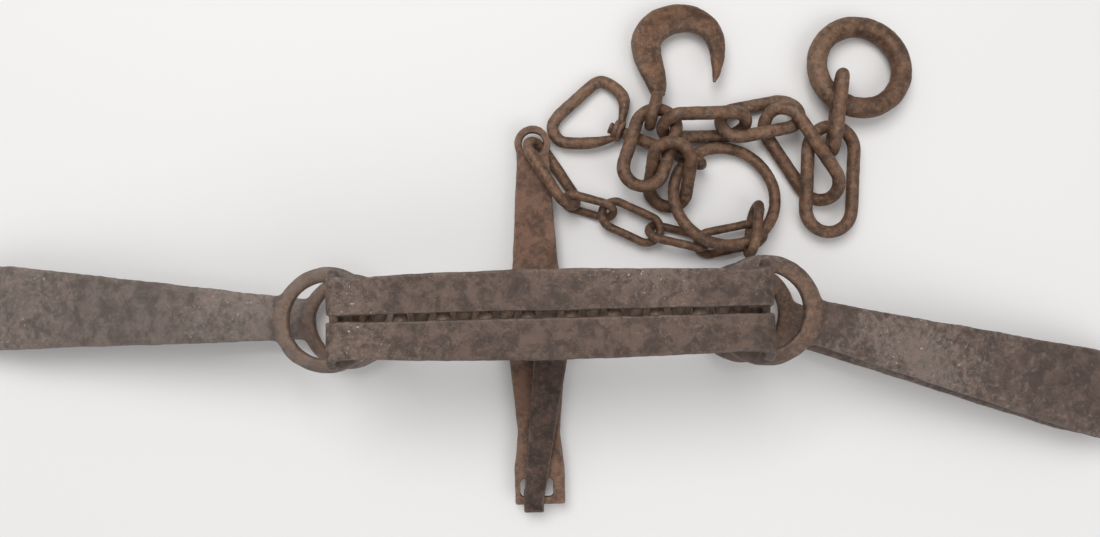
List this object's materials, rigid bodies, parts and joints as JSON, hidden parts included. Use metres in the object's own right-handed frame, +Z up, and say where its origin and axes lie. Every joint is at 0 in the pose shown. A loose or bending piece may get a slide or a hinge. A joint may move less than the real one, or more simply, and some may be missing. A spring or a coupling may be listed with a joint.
{
  "type": "leghold trap",
  "caption": "Large leghold trap with toothed jaws between flat V springs on a riveted base, with a short chain, ring, swivel, drag hook and heavy drag chain",
  "frame": {"origin": "middle of the base bar's underside, on the floor", "axes": "+X along the jaws towards the right spring, +Y towards the chain eyelet, +Z up"},
  "size_m": [0.916, 0.4061, 0.125],
  "materials": {
    "iron": "weathered grey-brown forged iron",
    "rusty_iron": "brown rusted forged iron, worn brighter on the edges",
    "dark_iron": "dark rusted iron"
  },
  "bodies": {
    "frame": {"base_bar": "dark_iron", "cross_bar": "iron", "cross_rivets": "dark_iron", "pan_bracket": "dark_iron", "pan_rivets": "dark_iron", "pan_pin": "dark_iron"},
    "jaw_front": {"jaw_front": "iron", "front_teeth": "dark_iron"},
    "jaw_rear": {"jaw_rear": "iron", "rear_teeth": "dark_iron"},
    "left_lower": {"left_lower_leaf": "iron"},
    "left_upper": {"left_upper_leaf": "iron"},
    "right_lower": {"right_lower_leaf": "iron"},
    "right_upper": {"right_upper_leaf": "iron"},
    "dog": {"dog": "rusty_iron"},
    "pan": {"pan": "rusty_iron"},
    "eyelet_link": {"eyelet_link": "rusty_iron"},
    "trap_link_2": {"trap_link_2": "rusty_iron"},
    "trap_link_3": {"trap_link_3": "rusty_iron"},
    "trap_link_4": {"trap_link_4": "rusty_iron"},
    "trap_link_5": {"trap_link_5": "rusty_iron"},
    "trap_link_6": {"trap_link_6": "rusty_iron"},
    "large_ring": {"large_ring": "rusty_iron"},
    "swivel_body": {"swivel_body": "rusty_iron"},
    "swivel_loop": {"swivel_loop": "rusty_iron"},
    "drag_link_1": {"drag_link_1": "rusty_iron"},
    "drag_link_2": {"drag_link_2": "rusty_iron"},
    "hook": {"hook": "rusty_iron"},
    "drag_link_3": {"drag_link_3": "rusty_iron"},
    "drag_link_4": {"drag_link_4": "rusty_iron"},
    "drag_link_5": {"drag_link_5": "rusty_iron"},
    "drag_link_6": {"drag_link_6": "rusty_iron"},
    "drag_link_7": {"drag_link_7": "rusty_iron"},
    "end_ring": {"end_ring": "rusty_iron"}
  },
  "joints": [
    {"name": "jaw_front_open", "type": "hinge", "parent": "frame", "child": "jaw_front", "pos_m": [0, -0.00675, 0.064], "axis": [1, 0, 0], "range_deg": [0, 90]},
    {"name": "jaw_rear_open", "type": "hinge", "parent": "frame", "child": "jaw_rear", "pos_m": [0, 0.00675, 0.064], "axis": [-1, 0, 0], "range_deg": [0, 90]},
    {"name": "left_swing", "type": "hinge", "parent": "frame", "child": "left_lower", "pos_m": [-0.1585, 0, 0], "axis": [0, 0, 1], "range_deg": [-30, 30]},
    {"name": "right_swing", "type": "hinge", "parent": "frame", "child": "right_lower", "pos_m": [0.1535, 0, 0], "axis": [0, 0, 1], "range_deg": [-30, 14]},
    {"name": "left_compress", "type": "hinge", "parent": "left_lower", "child": "left_upper", "pos_m": [-0.44297, 0.0174, 0.017], "axis": [0.0611, 0.9981, 0], "range_deg": [0, 8.5], "stiffness_Nm_per_rad": 60, "springref_deg": -5.73},
    {"name": "right_compress", "type": "hinge", "parent": "right_lower", "child": "right_upper", "pos_m": [0.42942, -0.07136, 0.017], "axis": [-0.2504, -0.9681, 0], "range_deg": [0, 8.5], "stiffness_Nm_per_rad": 60, "springref_deg": -5.73},
    {"name": "dog_turn", "type": "hinge", "parent": "frame", "child": "dog", "pos_m": [-0.016, -0.143, 0.0135], "axis": [1, 0, 0], "range_deg": [0, 100]},
    {"name": "pan_tilt", "type": "hinge", "parent": "frame", "child": "pan", "pos_m": [-0.011, -0.022, 0.034], "axis": [1, 0, 0], "range_deg": [0, 18]},
    {"name": "eyelet_link_turn", "type": "hinge", "parent": "frame", "child": "eyelet_link", "pos_m": [-0.0003, 0.1382, 0.013], "axis": [0, 0, 1], "range_deg": [0, 10]},
    {"name": "trap_link_2_turn", "type": "hinge", "parent": "eyelet_link", "child": "trap_link_2", "pos_m": [0.0224, 0.0926, 0.0093], "axis": [0, 0, 1], "range_deg": [-6, 0]},
    {"name": "trap_link_3_turn", "type": "hinge", "parent": "trap_link_2", "child": "trap_link_3", "pos_m": [0.0456, 0.0797, 0.0041], "axis": [0.4079, 0.2587, 0.8756], "range_deg": [-3, 0]},
    {"name": "trap_link_4_turn", "type": "hinge", "parent": "trap_link_3", "child": "trap_link_4", "pos_m": [0.0888, 0.0729, 0.0113], "axis": [0, 0, 1], "range_deg": [-3, 0]},
    {"name": "trap_link_5_turn", "type": "hinge", "parent": "trap_link_4", "child": "trap_link_5", "pos_m": [0.1266, 0.0577, 0.009], "axis": [0, 0, 1], "range_deg": [-4, 0]},
    {"name": "trap_link_6_turn", "type": "hinge", "parent": "trap_link_5", "child": "trap_link_6", "pos_m": [0.1634, 0.0712, 0.013], "axis": [-0.1302, 0.01, 0.9914], "range_deg": [-15, 0]},
    {"name": "large_ring_turn", "type": "hinge", "parent": "trap_link_6", "child": "large_ring", "pos_m": [0.1589, 0.048, 0.0293], "axis": [0, 0, 1], "range_deg": [-15, 0]},
    {"name": "swivel_body_turn", "type": "hinge", "parent": "large_ring", "child": "swivel_body", "pos_m": [0.1175, 0.1265, 0.0126], "axis": [-0.9088, 0.4095, -0.0799], "range_deg": [-4, 5]},
    {"name": "swivel_loop_turn", "type": "hinge", "parent": "swivel_body", "child": "swivel_loop", "pos_m": [0.05826, 0.14913, 0.01014], "axis": [-0.9072, 0.4134, -0.0785], "range_deg": [-10, 5]},
    {"name": "drag_link_1_turn", "type": "hinge", "parent": "large_ring", "child": "drag_link_1", "pos_m": [0.1008, 0.102, 0.0195], "axis": [1, 0, 0], "range_deg": [0, 14]},
    {"name": "drag_link_2_turn", "type": "hinge", "parent": "drag_link_1", "child": "drag_link_2", "pos_m": [0.0842, 0.1214, 0.0244], "axis": [-0.9963, 0.0498, 0.0697], "range_deg": [-8, 0]},
    {"name": "hook_turn", "type": "hinge", "parent": "drag_link_2", "child": "hook", "pos_m": [0.0746, 0.1568, 0.02], "axis": [0.2805, 0.5711, -0.7715], "range_deg": [-12, 6]},
    {"name": "drag_link_3_turn", "type": "hinge", "parent": "drag_link_2", "child": "drag_link_3", "pos_m": [0.103, 0.1524, 0.0225], "axis": [0.7923, -0.5516, 0.2608], "range_deg": [0, 15]},
    {"name": "drag_link_4_turn", "type": "hinge", "parent": "drag_link_3", "child": "drag_link_4", "pos_m": [0.1402, 0.1437, 0.0059], "axis": [-0.51, 0.82, 0.26], "range_deg": [-12, 0]},
    {"name": "drag_link_5_turn", "type": "hinge", "parent": "drag_link_4", "child": "drag_link_5", "pos_m": [0.1992, 0.1491, 0.0192], "axis": [0.0201, 0.4511, -0.8922], "range_deg": [-12, 4]},
    {"name": "drag_link_6_turn", "type": "hinge", "parent": "drag_link_5", "child": "drag_link_6", "pos_m": [0.2067, 0.0981, 0.0052], "axis": [0, 0, 1], "range_deg": [-12, 0]},
    {"name": "drag_link_7_turn", "type": "hinge", "parent": "drag_link_6", "child": "drag_link_7", "pos_m": [0.2357, 0.1458, 0.0161], "axis": [-0.9687, 0.1598, -0.1898], "range_deg": [-15, 2]},
    {"name": "end_ring_turn", "type": "hinge", "parent": "drag_link_7", "child": "end_ring", "pos_m": [0.2375, 0.1659, 0.0052], "axis": [0, 0, 1], "range_deg": [-10, 15]}
  ],
  "couplings": [
    {"joint": "jaw_rear_open", "follows": "jaw_front_open", "ratio": 1},
    {"joint": "left_compress", "follows": "jaw_front_open", "ratio": 0.09444},
    {"joint": "right_compress", "follows": "jaw_front_open", "ratio": 0.09444},
    {"joint": "trap_link_2_turn", "follows": "eyelet_link_turn", "ratio": -0.6},
    {"joint": "trap_link_3_turn", "follows": "eyelet_link_turn", "ratio": -0.3},
    {"joint": "trap_link_4_turn", "follows": "eyelet_link_turn", "ratio": -0.3},
    {"joint": "trap_link_5_turn", "follows": "eyelet_link_turn", "ratio": -0.4}
  ]
}
